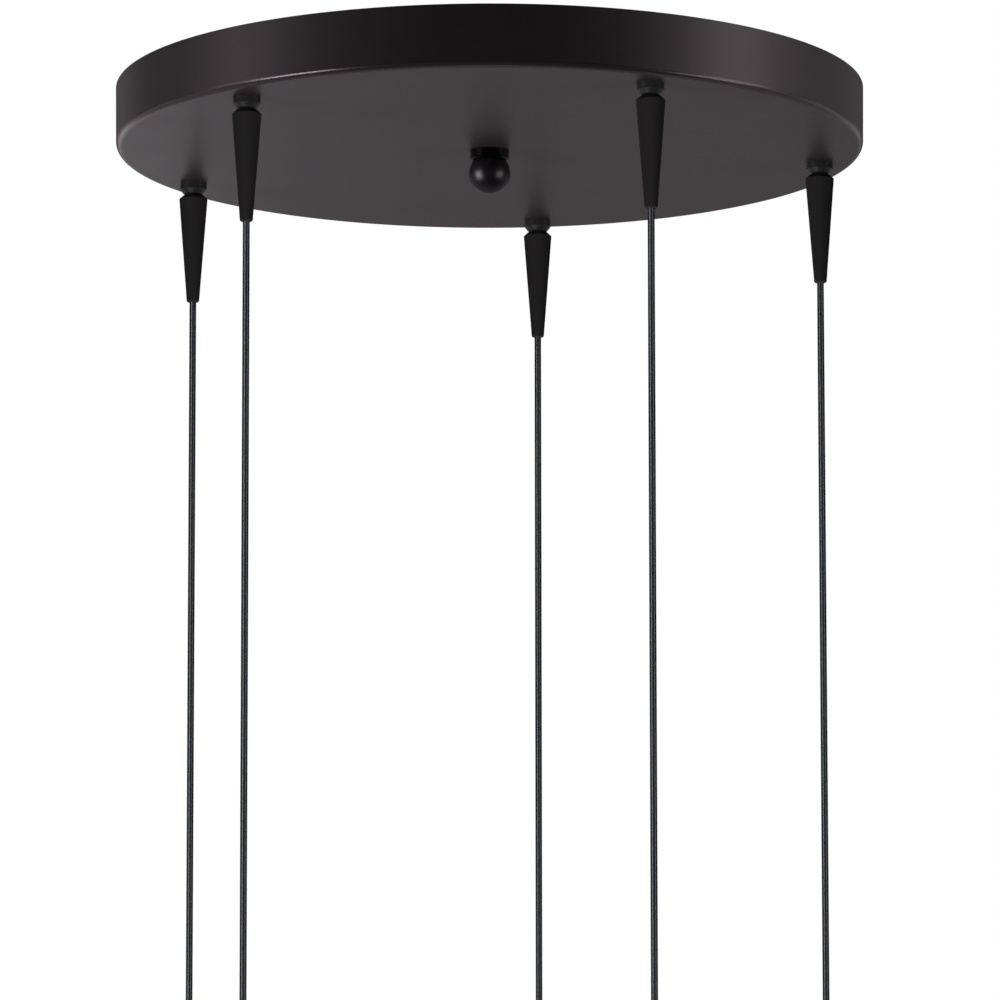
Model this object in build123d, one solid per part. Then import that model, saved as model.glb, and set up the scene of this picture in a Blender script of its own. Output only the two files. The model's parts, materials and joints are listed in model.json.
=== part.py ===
"""Cluster pendant: a round canopy pan with five cords that hang from tapered grips.

Millimetres, +Z up. The origin is the centre of the pan's rim, on the ceiling plane, so the
pan, the cords and the lampholders are all below z = 0. Pendant 1 is the one nearest +Y, and
the others follow clockwise as seen from above.
"""
from build123d import *
import math
import os

# ---------------------------------------------------------------- driving sizes
# canopy pan
canopy_radius = 203.2
canopy_depth = 33.5
canopy_wall = 1.2
canopy_draft = 0.3
canopy_edge_round = 3.5

# where the cords hang: angles are clockwise from +Y
pendant_count = 5
pendant_from_rim = 20.2
first_pendant_angle = 8.5

# cord
cord_radius = 1.85
cord_length = 428.0
cord_in_cap = 4.0
cord_top_gap = 0.6

# threaded nipple of each cord
nipple_radius = 4.8
nipple_bore_radius = 3.2
nipple_above_nut = 3.0
nipple_in_grip = 9.0
collet_length = 5.0
collet_taper = 0.7
collet_slot = 0.8
collet_solid_end = 1.0
locknut_across_flats = 16.0
locknut_height = 3.6
washer_radius = 8.0
washer_thickness = 0.9

# collar between the pan and each grip
collar_radius = 7.3
collar_height = 6.4
collar_band = 3.5
collar_band_round = 0.7
collar_neck_wall = 0.45

# tapered cord grip
grip_gap = 0.6
grip_length = 60.0
grip_top_radius = 7.8
grip_tip_radius = 3.4
grip_shoulder_drop = 2.0
grip_shoulder_round = 1.4
grip_neck_wall = 0.75
grip_tip_round = 1.0
grip_socket_spare = 1.0
grip_seat_height = 2.5

# mounting bar, in the ceiling plane
bar_length = 112.0
bar_width = 22.0
bar_thickness = 2.4
bar_end_round = 7.0
bar_hub_radius = 9.5
bar_hub_height = 3.0
bar_slot_spacing = 79.4
bar_slot_length = 16.0
bar_slot_width = 5.0
ground_screw_place = 21.0

# centre stud and what locks it
stud_radius = 4.8
stud_bore_radius = 3.2
stud_above_bar = 6.0
stud_in_ball = 9.0
stud_nut_across_flats = 15.9
stud_nut_height = 4.0
stud_washer_radius = 8.6
stud_washer_thickness = 1.0

# ground screw
ground_thread_radius = 2.0
ground_head_radius = 4.2
ground_flange_radius = 5.0
ground_flange_height = 0.9
ground_head_height = 3.2
ground_screw_length = 6.0

# finial
finial_collar_radius = 10.65
finial_collar_height = 5.4
finial_collar_round = 1.2
ball_radius = 11.35
ball_centre_drop = 12.5
ball_seat_gap = 0.2
ball_bore_spare = 1.2

# terminal strip on the pan's floor
strip_ways = 5
strip_pitch = 12.0
strip_end = 4.0
strip_width = 20.0
strip_height = 12.0
strip_centre_y = -48.0
strip_entry_height = 5.0
strip_screw_radius = 2.1
strip_screw_depth = 2.5
strip_screw_sunk = 0.6
strip_screw_inset = 5.0

# the cords' tails inside the pan
lead_run_height = 18.0
lead_elbow_radius = 11.0
lead_approach = 34.0
lead_approach_radius = 24.0
lead_in_strip = 6.0

# lampholder cap
cap_neck_radius = 5.0
cap_neck_height = 6.0
cap_radius = 20.6
cap_dome_height = 11.0
cap_dome_bulge_out = 0.62
cap_dome_bulge_down = 0.30
cap_skirt_height = 10.0
cap_wall = 1.3
cap_neck_round = 1.0

# lampholder body, for a medium screw lamp
body_in_cap = 8.0
body_flange_height = 2.4
body_thread_radius = 18.9
body_thread_length = 22.0
body_nose_radius = 18.0
body_nose_length = 11.0
body_nose_chamfer = 1.2
body_bore_radius = 14.6
body_floor = 7.0

# screw shell and centre contact
lamp_thread_radius = 13.3
shell_length = 27.0
shell_lip = 2.0
shell_lip_thickness = 1.0
shell_mouth_gap = 3.0
contact_width = 7.0
contact_thickness = 0.8
contact_span = 15.0
contact_drop = 5.0

# shade ring
ring_radius = 25.0
ring_flange_height = 2.2
ring_height = 8.0
ring_wall = 2.2
ring_notches = 10
ring_notch_radius = 2.4
shade_gap = 3.0

# fits
running_clearance = 0.08
snug_clearance = 0.02
hole_clearance = 0.4
cord_clearance = 0.3

# ---------------------------------------------------------------- places and levels
pendant_ring_radius = canopy_radius - pendant_from_rim
strip_length = strip_ways * strip_pitch + 2 * strip_end
face_z = -canopy_depth
floor_z = face_z + canopy_wall
collar_bottom_z = face_z - collar_height
grip_top_z = collar_bottom_z - grip_gap
grip_tip_z = grip_top_z - grip_length
washer_top_z = floor_z + washer_thickness
locknut_top_z = washer_top_z + locknut_height
nipple_top_z = locknut_top_z + nipple_above_nut
nipple_bottom_z = grip_top_z - nipple_in_grip
strip_top_z = floor_z + strip_height
strip_entry_z = floor_z + strip_entry_height
pivot_z = grip_tip_z
cord_end_z = pivot_z - cord_length
cap_top_z = cord_end_z + cord_in_cap
dome_top_z = cap_top_z - cap_neck_height
skirt_top_z = dome_top_z - cap_dome_height
cap_bottom_z = skirt_top_z - cap_skirt_height
body_top_z = cap_bottom_z + body_in_cap
thread_top_z = cap_bottom_z - body_flange_height
thread_bottom_z = thread_top_z - body_thread_length
body_bottom_z = thread_bottom_z - body_nose_length
bore_top_z = body_top_z - body_floor
shell_bottom_z = body_bottom_z + shell_mouth_gap
shell_top_z = shell_bottom_z + shell_length
ring_top_z = thread_top_z - shade_gap
bar_bottom_z = -bar_thickness
hub_bottom_z = bar_bottom_z - bar_hub_height
finial_collar_bottom_z = face_z - finial_collar_height
stud_bottom_z = finial_collar_bottom_z - stud_in_ball


# ---------------------------------------------------------------- helpers
def turned(outline, rounds=()):
    """A solid turned about Z from (radius, z) points. Each round is (corner, fillet radius)."""
    face = make_face(Polyline(*outline, close=True))
    for corner, size in rounds:
        face = fillet(face.vertices().sort_by_distance(corner)[0], size)
    return revolve(Plane.XZ * face, Axis.Z)


def rod(radius, low, high):
    """A cylinder about Z from one level to another."""
    return Pos(0, 0, low) * Cylinder(radius, high - low, align=(Align.CENTER, Align.CENTER, Align.MIN))


def tube(radius, bore, low, high):
    """A tube about Z."""
    return rod(radius, low, high) - rod(bore, low, high)


def hexagon(corner_radius, low, high):
    """A hexagonal block about Z."""
    return Pos(0, 0, low) * extrude(RegularPolygon(corner_radius, 6), high - low)


def hex_nut(across_flats, bore, low, high):
    return hexagon(across_flats / math.sqrt(3), low, high) - rod(bore, low, high)


def pendant_angle(number):
    return first_pendant_angle + 360.0 / pendant_count * (number - 1)


def pendant_place(number):
    """Where pendant number hangs, as (x, y)."""
    angle = math.radians(pendant_angle(number))
    return pendant_ring_radius * math.sin(angle), pendant_ring_radius * math.cos(angle)


def at_pendant(number, shape):
    """The shape, made about the origin, moved to a pendant and turned with it."""
    x, y = pendant_place(number)
    return Pos(x, y, 0) * Rot(0, 0, -pendant_angle(number)) * shape


pendants = range(1, pendant_count + 1)


# ---------------------------------------------------------------- canopy
def canopy_pan():
    bottom_radius = canopy_radius - canopy_draft
    outer = (
        (0, face_z),
        (bottom_radius, face_z),
        (canopy_radius, 0),
        (canopy_radius - canopy_wall, 0),
        (bottom_radius - canopy_wall, floor_z),
        (0, floor_z),
    )
    inner_round = max(canopy_edge_round - canopy_wall, canopy_wall / 2)
    rounds = (
        ((bottom_radius, face_z), canopy_edge_round),
        ((bottom_radius - canopy_wall, floor_z), inner_round),
    )
    pan = turned(outer, rounds)
    pan -= rod(stud_radius + hole_clearance, face_z, floor_z)
    for number in pendants:
        pan -= at_pendant(number, rod(nipple_radius + hole_clearance, face_z, floor_z))
    return pan


def mounting_bar():
    strap = Rectangle(bar_length, bar_width)
    strap = fillet(strap.vertices(), bar_end_round)
    for side in (-1, 1):
        slot = SlotOverall(bar_slot_length, bar_slot_width)
        strap -= Pos(side * bar_slot_spacing / 2, 0) * slot
    bar = Pos(0, 0, bar_bottom_z) * extrude(strap, bar_thickness)
    hub = turned(
        (
            (0, hub_bottom_z),
            (bar_hub_radius - bar_hub_height / 3, hub_bottom_z),
            (bar_hub_radius, bar_bottom_z),
            (0, bar_bottom_z),
        )
    )
    bar += hub
    bar -= rod(stud_radius + snug_clearance, hub_bottom_z, 0)
    bar -= Pos(ground_screw_place, 0, 0) * rod(ground_thread_radius, bar_bottom_z, 0)
    return bar


def centre_stud():
    return tube(stud_radius, stud_bore_radius, stud_bottom_z, stud_above_bar)


def stud_locknuts():
    bore = stud_radius + snug_clearance
    lower_top = hub_bottom_z - stud_washer_thickness
    return [
        hex_nut(stud_nut_across_flats, bore, 0, stud_nut_height),
        hex_nut(stud_nut_across_flats, bore, lower_top - stud_nut_height, lower_top),
    ]


def stud_washer():
    low = hub_bottom_z - stud_washer_thickness
    return tube(stud_washer_radius, stud_radius + snug_clearance, low, hub_bottom_z)


def ground_screw():
    """A washer-head screw in the bar, with a screwdriver slot."""
    flange_bottom = bar_bottom_z - ground_flange_height
    head_bottom = bar_bottom_z - ground_head_height
    screw = rod(ground_flange_radius, flange_bottom, bar_bottom_z)
    screw += hexagon(ground_head_radius, head_bottom, flange_bottom)
    screw += rod(ground_thread_radius - snug_clearance, head_bottom, bar_bottom_z + ground_screw_length)
    slot_width, slot_depth = ground_head_radius / 4, ground_head_height / 3
    screw -= Pos(0, 0, head_bottom) * Box(3 * ground_head_radius, slot_width, 2 * slot_depth)
    return Pos(ground_screw_place, 0, 0) * screw


# ---------------------------------------------------------------- finial
def finial_collar():
    bore = stud_radius + running_clearance
    outline = (
        (bore, face_z),
        (finial_collar_radius, face_z),
        (finial_collar_radius, finial_collar_bottom_z),
        (bore, finial_collar_bottom_z),
    )
    return turned(outline, (((finial_collar_radius, finial_collar_bottom_z), finial_collar_round),))


def ball_finial():
    ball = Pos(0, 0, face_z - ball_centre_drop) * Sphere(ball_radius)
    ball_top_z = finial_collar_bottom_z - ball_seat_gap
    ball &= rod(ball_radius, face_z - ball_centre_drop - ball_radius, ball_top_z)
    bore_bottom = stud_bottom_z - ball_bore_spare
    return ball - rod(stud_radius + running_clearance, bore_bottom, ball_top_z)


# ---------------------------------------------------------------- each cord's fitting
def cord_nipple():
    """A hollow threaded nipple whose lower end is a slotted collet that holds the cord."""
    collet_top = nipple_bottom_z + collet_length
    blank = turned(
        (
            (0, nipple_bottom_z),
            (nipple_radius - collet_taper, nipple_bottom_z),
            (nipple_radius, collet_top),
            (nipple_radius, nipple_top_z),
            (0, nipple_top_z),
        )
    )
    blank -= rod(cord_radius + snug_clearance, nipple_bottom_z, collet_top)
    blank -= rod(nipple_bore_radius, collet_top, nipple_top_z)
    slot_length = collet_length - collet_solid_end
    for turn in (0, 90):
        slot = Box(3 * nipple_radius, collet_slot, slot_length, align=(Align.CENTER, Align.CENTER, Align.MIN))
        blank -= Pos(0, 0, nipple_bottom_z) * Rot(0, 0, turn) * slot
    return blank


def nipple_washer():
    return tube(washer_radius, nipple_radius + snug_clearance, floor_z, washer_top_z)


def nipple_locknut():
    return hex_nut(locknut_across_flats, nipple_radius + snug_clearance, washer_top_z, locknut_top_z)


def nipple_collar():
    bore = nipple_radius + snug_clearance
    band_bottom = face_z - collar_band
    outline = (
        (bore, face_z),
        (collar_radius, face_z),
        (collar_radius, band_bottom),
        (nipple_radius + collar_neck_wall, collar_bottom_z),
        (bore, collar_bottom_z),
    )
    return turned(outline, (((collar_radius, band_bottom), collar_band_round),))


def cord_grip():
    """The long cone, with a socket for the nipple, a seat for its collet and a bore for the cord.

    Its top slopes up from the shoulder to a neck as wide as the collar's.
    """
    socket_radius = nipple_radius + running_clearance
    bore = cord_radius + cord_clearance
    socket_bottom = nipple_bottom_z - grip_socket_spare
    shoulder_z = grip_top_z - grip_shoulder_drop
    outline = (
        (bore, grip_tip_z),
        (grip_tip_radius, grip_tip_z),
        (grip_top_radius, shoulder_z),
        (socket_radius + grip_neck_wall, grip_top_z),
        (socket_radius, grip_top_z),
        (socket_radius, socket_bottom),
        (bore, socket_bottom - grip_seat_height),
    )
    rounds = (
        ((grip_tip_radius, grip_tip_z), grip_tip_round),
        ((grip_top_radius, shoulder_z), grip_shoulder_round),
    )
    return turned(outline, rounds)


def pendant_cord():
    """The hanging cord, from the point where it swings down into its lampholder's cap."""
    return rod(cord_radius, cord_end_z, pivot_z)


# ---------------------------------------------------------------- wiring inside the pan
def way_x(way):
    """Where a way of the strip is, counted from 0 at its left end."""
    return (way - (strip_ways - 1) / 2) * strip_pitch


def screw_rows():
    """Where the strip's screws are: one near each end of every way."""
    reach = strip_width / 2 - strip_screw_inset
    return [(way_x(way), strip_centre_y + side * reach) for way in range(strip_ways) for side in (-1, 1)]


def terminal_strip():
    strip = Box(strip_length, strip_width, strip_height, align=(Align.CENTER, Align.CENTER, Align.MIN))
    strip = Pos(0, strip_centre_y, floor_z) * strip
    entry = Cylinder(cord_radius + snug_clearance, strip_width, rotation=(90, 0, 0))
    for way in range(strip_ways):
        strip -= Pos(way_x(way), strip_centre_y, strip_entry_z) * entry
    well = rod(strip_screw_radius + snug_clearance, strip_top_z - strip_screw_depth, strip_top_z)
    for x, y in screw_rows():
        strip -= Pos(x, y, 0) * well
    return strip


def terminal_screws():
    screw = rod(strip_screw_radius, strip_top_z - strip_screw_depth, strip_top_z - strip_screw_sunk)
    return [Pos(x, y, 0) * screw for x, y in screw_rows()]


def lead_entry(number):
    """Where a pendant's tail enters the strip, and from which side (1 far, -1 near).

    It enters from its pendant's side, by the last way at that end, or by the one before it
    when the pendant stands in line with the strip.
    """
    x, y = pendant_place(number)
    side = math.copysign(1, y - strip_centre_y)
    ways_in = 0 if abs(x) > strip_length / 2 else 1
    way = strip_ways - 1 - ways_in if x > 0 else ways_in
    return way_x(way), strip_centre_y + side * strip_width / 2, side


def canopy_leads():
    """Each cord's tail: up through the grip and the nipple, over, and into the terminal strip."""
    leads = []
    run_z = floor_z + lead_run_height
    low_z = pivot_z + cord_top_gap
    for number in pendants:
        x, y = pendant_place(number)
        entry_x, entry_y, side = lead_entry(number)
        route = FilletPolyline(
            (x, y, low_z),
            (x, y, run_z),
            (entry_x, entry_y + side * lead_approach, strip_entry_z),
            (entry_x, entry_y - side * lead_in_strip, strip_entry_z),
            radius=[lead_elbow_radius, lead_approach_radius],
        )
        start = Plane(origin=(x, y, low_z), z_dir=(0, 0, 1))
        lead = sweep(start * Circle(cord_radius), path=route)
        share = lead.volume / (math.pi * cord_radius**2 * route.length)
        print(f"lead {number}: {route.length:.1f} mm, volume share {share:.4f}")
        leads.append(lead)
    return leads


# ---------------------------------------------------------------- lampholder
def socket_cap():
    """A spun cap: a neck for the cord, a dome and a skirt that takes the body."""
    bulge_x = cap_neck_radius + cap_dome_bulge_out * (cap_radius - cap_neck_radius)
    bulge_z = dome_top_z - cap_dome_bulge_down * cap_dome_height
    dome = ThreePointArc((cap_neck_radius, dome_top_z), (bulge_x, bulge_z), (cap_radius, skirt_top_z))
    inside = cap_radius - cap_wall
    bore = cord_radius + snug_clearance
    rest = Polyline(
        (cap_radius, skirt_top_z),
        (cap_radius, cap_bottom_z),
        (inside, cap_bottom_z),
        (inside, skirt_top_z),
        (bulge_x - cap_wall / 2, bulge_z - cap_wall),
        (cap_neck_radius, dome_top_z - cap_wall),
        (bore, dome_top_z - cap_wall),
        (bore, cap_top_z),
        (cap_neck_radius, cap_top_z),
        (cap_neck_radius, dome_top_z),
    )
    face = make_face(Curve() + [dome, rest])
    face = fillet(face.vertices().sort_by_distance((cap_neck_radius, cap_top_z))[0], cap_neck_round)
    return revolve(Plane.XZ * face, Axis.Z)


def socket_body():
    plug_radius = cap_radius - cap_wall - snug_clearance
    outline = (
        (0, bore_top_z),
        (body_bore_radius, bore_top_z),
        (body_bore_radius, body_bottom_z),
        (body_nose_radius - body_nose_chamfer, body_bottom_z),
        (body_nose_radius, body_bottom_z + body_nose_chamfer),
        (body_nose_radius, thread_bottom_z),
        (body_thread_radius, thread_bottom_z),
        (body_thread_radius, thread_top_z),
        (cap_radius, thread_top_z),
        (cap_radius, cap_bottom_z),
        (plug_radius, cap_bottom_z),
        (plug_radius, body_top_z),
        (0, body_top_z),
    )
    return turned(outline)


def screw_shell():
    outer = body_bore_radius - snug_clearance
    outline = (
        (lamp_thread_radius, shell_bottom_z),
        (outer, shell_bottom_z),
        (outer, shell_top_z),
        (lamp_thread_radius - shell_lip, shell_top_z),
        (lamp_thread_radius - shell_lip, shell_top_z - shell_lip_thickness),
        (lamp_thread_radius, shell_top_z - shell_lip_thickness),
    )
    return turned(outline)


def centre_contact():
    """A spring strip fixed to the bore's floor, bent down towards the lamp."""
    half = contact_span / 2
    strip = Polyline(
        (-half, bore_top_z),
        (half / 2, bore_top_z),
        (half / 2, bore_top_z - contact_thickness),
        (-half + 2 * contact_thickness, bore_top_z - contact_thickness),
        (half / 3, bore_top_z - contact_drop),
        (half / 3, bore_top_z - contact_drop - contact_thickness),
        (-half / 6, bore_top_z - contact_drop - contact_thickness),
        (-half, bore_top_z - 2 * contact_thickness),
        close=True,
    )
    return extrude(Plane.XZ * make_face(strip), contact_width / 2, both=True)


def shade_ring():
    bore = body_thread_radius + running_clearance
    hub = bore + ring_wall
    outline = (
        (bore, ring_top_z),
        (ring_radius, ring_top_z),
        (ring_radius, ring_top_z - ring_flange_height),
        (hub, ring_top_z - ring_flange_height),
        (hub, ring_top_z - ring_height),
        (bore, ring_top_z - ring_height),
    )
    ring = turned(outline)
    for notch in range(ring_notches):
        cut = Pos(ring_radius + ring_notch_radius / 2, 0, 0)
        cut = cut * rod(ring_notch_radius, ring_top_z - ring_flange_height, ring_top_z)
        ring -= Rot(0, 0, 360.0 / ring_notches * notch) * cut
    return ring


# ---------------------------------------------------------------- all pieces
def all_pieces():
    """Every node's name with its solid, or its list of separate solids."""
    pieces = {
        "canopy_pan": canopy_pan(),
        "mounting_bar": mounting_bar(),
        "centre_stud": centre_stud(),
        "stud_locknuts": stud_locknuts(),
        "stud_washer": stud_washer(),
        "ground_screw": ground_screw(),
        "finial_collar": finial_collar(),
        "ball_finial": ball_finial(),
        "terminal_strip": terminal_strip(),
        "terminal_screws": terminal_screws(),
        "canopy_leads": canopy_leads(),
    }
    for name, shape in (
        ("cord_nipples", cord_nipple()),
        ("nipple_washers", nipple_washer()),
        ("nipple_locknuts", nipple_locknut()),
    ):
        pieces[name] = [at_pendant(number, shape) for number in pendants]
    for name, shape in (
        ("nipple_collar", nipple_collar()),
        ("cord_grip", cord_grip()),
        ("pendant_cord", pendant_cord()),
        ("socket_cap", socket_cap()),
        ("socket_body", socket_body()),
        ("screw_shell", screw_shell()),
        ("centre_contact", centre_contact()),
        ("shade_ring", shade_ring()),
    ):
        for number in pendants:
            pieces[f"{name}_{number}"] = at_pendant(number, shape)
    return pieces


os.makedirs("parts", exist_ok=True)
for node, shape in all_pieces().items():
    if isinstance(shape, list):
        shape = Compound(children=shape)
    export_step(shape, f"parts/{node}.step")
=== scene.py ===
"""Looks of the cluster pendant: its finishes, cords, threads, screws and the studio round it.

Metres, +Z up into the ceiling, +Y away from the camera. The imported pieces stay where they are.
The turned and threaded pieces are drawn in millimetres about Z, as on a lathe, and then placed.
"""
import json
import math
from collections import namedtuple

import bmesh
import bpy
from mathutils import Matrix, Vector


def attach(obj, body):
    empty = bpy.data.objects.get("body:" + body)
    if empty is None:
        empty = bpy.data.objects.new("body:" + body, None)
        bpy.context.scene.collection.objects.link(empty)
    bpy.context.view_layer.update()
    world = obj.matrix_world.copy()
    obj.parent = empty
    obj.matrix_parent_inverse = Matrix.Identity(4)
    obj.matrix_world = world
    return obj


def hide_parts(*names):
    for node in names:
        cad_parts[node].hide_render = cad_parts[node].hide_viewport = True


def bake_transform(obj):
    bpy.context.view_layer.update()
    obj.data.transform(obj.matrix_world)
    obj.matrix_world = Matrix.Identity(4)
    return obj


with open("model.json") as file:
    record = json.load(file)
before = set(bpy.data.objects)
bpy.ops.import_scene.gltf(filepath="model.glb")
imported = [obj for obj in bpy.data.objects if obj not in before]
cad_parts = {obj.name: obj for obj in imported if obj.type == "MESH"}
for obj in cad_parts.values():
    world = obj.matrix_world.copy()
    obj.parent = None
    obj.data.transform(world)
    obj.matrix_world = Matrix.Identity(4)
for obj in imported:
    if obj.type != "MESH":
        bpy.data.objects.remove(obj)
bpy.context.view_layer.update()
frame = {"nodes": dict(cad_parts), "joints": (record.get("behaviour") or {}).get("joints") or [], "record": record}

MM = 0.001
PENDANTS = range(1, 6)

# -------- sizes that the frame gives
joints = {joint["name"]: joint for joint in frame["joints"]}
swing_points = {n: Vector(joints[f"pendant_swing_{n}"]["pos_m"]) for n in PENDANTS}
slots = {sub["node"]: sub["material_slot"] for sub in frame["record"]["subparts"]}
body_nodes = frame["record"]["behaviour"]["bodies"]
body_of = {node: body for body, nodes in body_nodes.items() for node in nodes}

# -------- studio and camera
CAMERA_PLACE = (0.0, -4.5, -1.0378)
CAMERA_PITCH = 10.223
CAMERA_YAW = 0.0693
CAMERA_ROLL = 0.0638
CAMERA_LENS = 305.06
SENSOR = 36.0
FLOOR_Z = -2.6
FLOOR_GLOW = 0.6
STUDIO_CENTRE = Vector((0, 0, -0.05))
ROOM_LEVEL = 0.014
TENT_RADIUS = 2.5
TENT_STEP = 5
TENT_TOP = 75
# The tent's cloths glow at these levels and are seen in gloss alone: painted dark and grey reflections.
TENT_BLACK_LEVEL = 0.0
TENT_GREY_GLOW = 0.292
BACKGROUND_WINDOW = 10
SIDE_STRIPS = {-145: 0.376, -120: 0.128, -78: 1.04, 56: 0.25, 78: 1.91, 100: 0.12, 120: 0.26, 145: 0.25}
LOW_STRIPS = {-62: 8.0, 72: 2.4}
HOLDER_STRIPS = {-120: 4.0, -55: 5.0, 65: 3.0, 150: 4.0}


# -------- helpers for shapes
def new_object(name, data):
    made = bpy.data.objects.new(name, data)
    bpy.context.scene.collection.objects.link(made)
    return made


def mesh_of(name, shape):
    """The mesh of a bmesh, which is freed."""
    mesh = bpy.data.meshes.new(name)
    shape.to_mesh(mesh)
    shape.free()
    return mesh


def new_mesh(name, shape):
    """The finished mesh of a bmesh drawn in millimetres."""
    bmesh.ops.remove_doubles(shape, verts=shape.verts, dist=1e-4)
    bmesh.ops.recalc_face_normals(shape, faces=shape.faces)
    mesh = mesh_of(name, shape)
    mesh.transform(Matrix.Scale(MM, 4))
    smooth(mesh)
    return mesh


def smooth(mesh, sharp_angle=35.0):
    """Smooth shading, with edges sharper than the angle left hard."""
    for face in mesh.polygons:
        face.use_smooth = True
    mesh.set_sharp_from_angle(angle=math.radians(sharp_angle))


def joined(name, meshes, places=(Matrix.Identity(4),)):
    """One mesh that holds every given mesh at every place."""
    shape = bmesh.new()
    for place in places:
        for mesh in meshes:
            before = len(shape.verts)
            shape.from_mesh(mesh)
            shape.verts.ensure_lookup_table()
            bmesh.ops.transform(shape, matrix=place, verts=shape.verts[before:])
    whole = mesh_of(name, shape)
    smooth(whole)
    return whole


def move_to(x, y, z=0.0):
    """The move to a place given in millimetres."""
    return Matrix.Translation(Vector((x, y, z)) * MM)


def route_points(points, steps):
    """The points of a smooth cord's line, read from the spline of its route."""
    curve = bpy.data.curves.new("route", "CURVE")
    curve.dimensions = "3D"
    curve.resolution_u = steps
    spline = curve.splines.new("NURBS")
    spline.points.add(len(points) - 1)
    for place, point in zip(spline.points, points):
        place.co = (*point, 1)
    spline.order_u = 3
    spline.use_endpoint_u = True
    holder = bpy.data.objects.new("route", curve)
    line = bpy.data.meshes.new_from_object(holder)
    found = [vertex.co.copy() for vertex in line.vertices]
    bpy.data.objects.remove(holder)
    bpy.data.curves.remove(curve)
    bpy.data.meshes.remove(line)
    return found


def tube_along(name, line, radius, sides=24):
    """A round cord whose rings stand on the line's points, closed at both ends."""
    shape = bmesh.new()
    rings = []
    side = Vector((1, 0, 0))
    for i, point in enumerate(line):
        ahead = line[min(i + 1, len(line) - 1)] - line[max(i - 1, 0)]
        ahead.normalize()
        side = (side - ahead * side.dot(ahead)).normalized()
        across = ahead.cross(side)
        ring = []
        for k in range(sides):
            turn = 2 * math.pi * k / sides
            ring.append(shape.verts.new(point + radius * (math.cos(turn) * side + math.sin(turn) * across)))
        rings.append(ring)
    for low, high in zip(rings, rings[1:]):
        for k in range(sides):
            shape.faces.new((low[k], low[(k + 1) % sides], high[(k + 1) % sides], high[k]))
    shape.faces.new(rings[0][::-1])
    shape.faces.new(rings[-1])
    bmesh.ops.recalc_face_normals(shape, faces=shape.faces)
    mesh = mesh_of(name, shape)
    smooth(mesh, 60)
    return mesh


# -------- turned and threaded shapes
# A thread's form is a list of (share of the pitch, share of the depth).
CUT_THREAD = ((0.0, 0.0), (0.12, 0.0), (0.5, 1.0), (0.62, 1.0))
MOULDED_THREAD = ((0.0, 0.0), (0.28, 0.0), (0.5, 1.0), (0.78, 1.0))
ROLLED_THREAD = tuple((k / 8, 0.5 - 0.5 * math.cos(math.pi * k / 4)) for k in range(8))
THREAD_RUN_OUT = 0.6
Thread = namedtuple("Thread", "low high root crest pitch form down", defaults=(False,))


def add_face(shape, corners):
    """A face over the corners that differ."""
    kept = list(dict.fromkeys(corners))
    if len(kept) > 2:
        shape.faces.new(kept)


def ring_at(shape, sides, station):
    """A ring of points about Z, or one point where the station is on the axis."""
    points = [station(2 * math.pi * k / sides) if callable(station) else station for k in range(sides)]
    if max(radius for radius, _ in points) == 0:
        return [shape.verts.new((0, 0, points[0][1]))]
    ring = []
    for k, (radius, z) in enumerate(points):
        turn = 2 * math.pi * k / sides
        ring.append(shape.verts.new((radius * math.cos(turn), radius * math.sin(turn), z)))
    return ring


def bridge(shape, first, second):
    """Faces between two rings, either of which may be a single point."""
    count = max(len(first), len(second))
    if count == 1:
        return
    for k in range(count):
        after = (k + 1) % count
        around = ((first, k), (first, after), (second, after), (second, k))
        add_face(shape, [ring[i % len(ring)] for ring, i in around])


def thread_rows(shape, sides, thread):
    """A right-handed thread whose crests run along the mesh, flush at both ends. Gives its end rings."""
    rows_a_turn = len(thread.form)
    length = thread.high - thread.low
    rows = rows_a_turn * (math.ceil(length / thread.pitch) + 2)
    columns = []
    for k in range(sides):
        turn = 2 * math.pi * k / sides
        column = []
        for i in range(rows + 1):
            share, depth = thread.form[i % rows_a_turn]
            climb = thread.pitch * (i // rows_a_turn + share - 1 + k / sides)
            climb = min(max(climb, 0.0), length)
            depth = min(depth, min(climb, length - climb) / (THREAD_RUN_OUT * thread.pitch))
            radius = thread.root + (thread.crest - thread.root) * depth
            place = (radius * math.cos(turn), radius * math.sin(turn), thread.low + climb)
            column.append(shape.verts.new(place))
        columns.append(column)
    for k, column in enumerate(columns):
        beside = columns[(k + 1) % sides]
        shift = rows_a_turn if k == sides - 1 else 0
        for i in range(rows):
            low, high = min(i + shift, rows), min(i + 1 + shift, rows)
            add_face(shape, (column[i], beside[low], beside[high], column[i + 1]))
    return [column[0] for column in columns], [column[-1] for column in columns]


def spun(name, stations, sides=64):
    """A piece turned about Z. Stations run round its section in millimetres.

    A station is a point (radius, z), a function of the angle that gives one, or a thread. The
    section closes on itself unless it starts and ends on the axis.
    """
    shape = bmesh.new()
    ends = []
    for station in stations:
        if isinstance(station, Thread):
            pair = thread_rows(shape, sides, station)
            ends.append(pair[::-1] if station.down else pair)
        else:
            ring = ring_at(shape, sides, station)
            ends.append((ring, ring))
    joins = list(zip(ends, ends[1:]))
    if len(ends[0][0]) > 1:
        joins.append((ends[-1], ends[0]))
    for before, after in joins:
        bridge(shape, before[1], after[0])
    return new_mesh(name, shape)


def rounded(*points, steps=6):
    """A section's points, where a third number rounds that corner by an arc of that radius."""
    section = []
    for i, point in enumerate(points):
        if len(point) == 2:
            section.append(point)
            continue
        here = Vector(point[:2])
        back = (Vector(points[i - 1][:2]) - here).normalized()
        ahead = (Vector(points[(i + 1) % len(points)][:2]) - here).normalized()
        half = back.angle(ahead) / 2
        centre = here + (back + ahead).normalized() * point[2] / math.sin(half)
        first = here + back * point[2] / math.tan(half) - centre
        last = here + ahead * point[2] / math.tan(half) - centre
        swing = first.angle(last)
        for step in range(steps + 1):
            share = step / steps
            mixed = (math.sin((1 - share) * swing) * first + math.sin(share * swing) * last) / math.sin(swing)
            section.append(tuple(centre + mixed))
    return section


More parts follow.
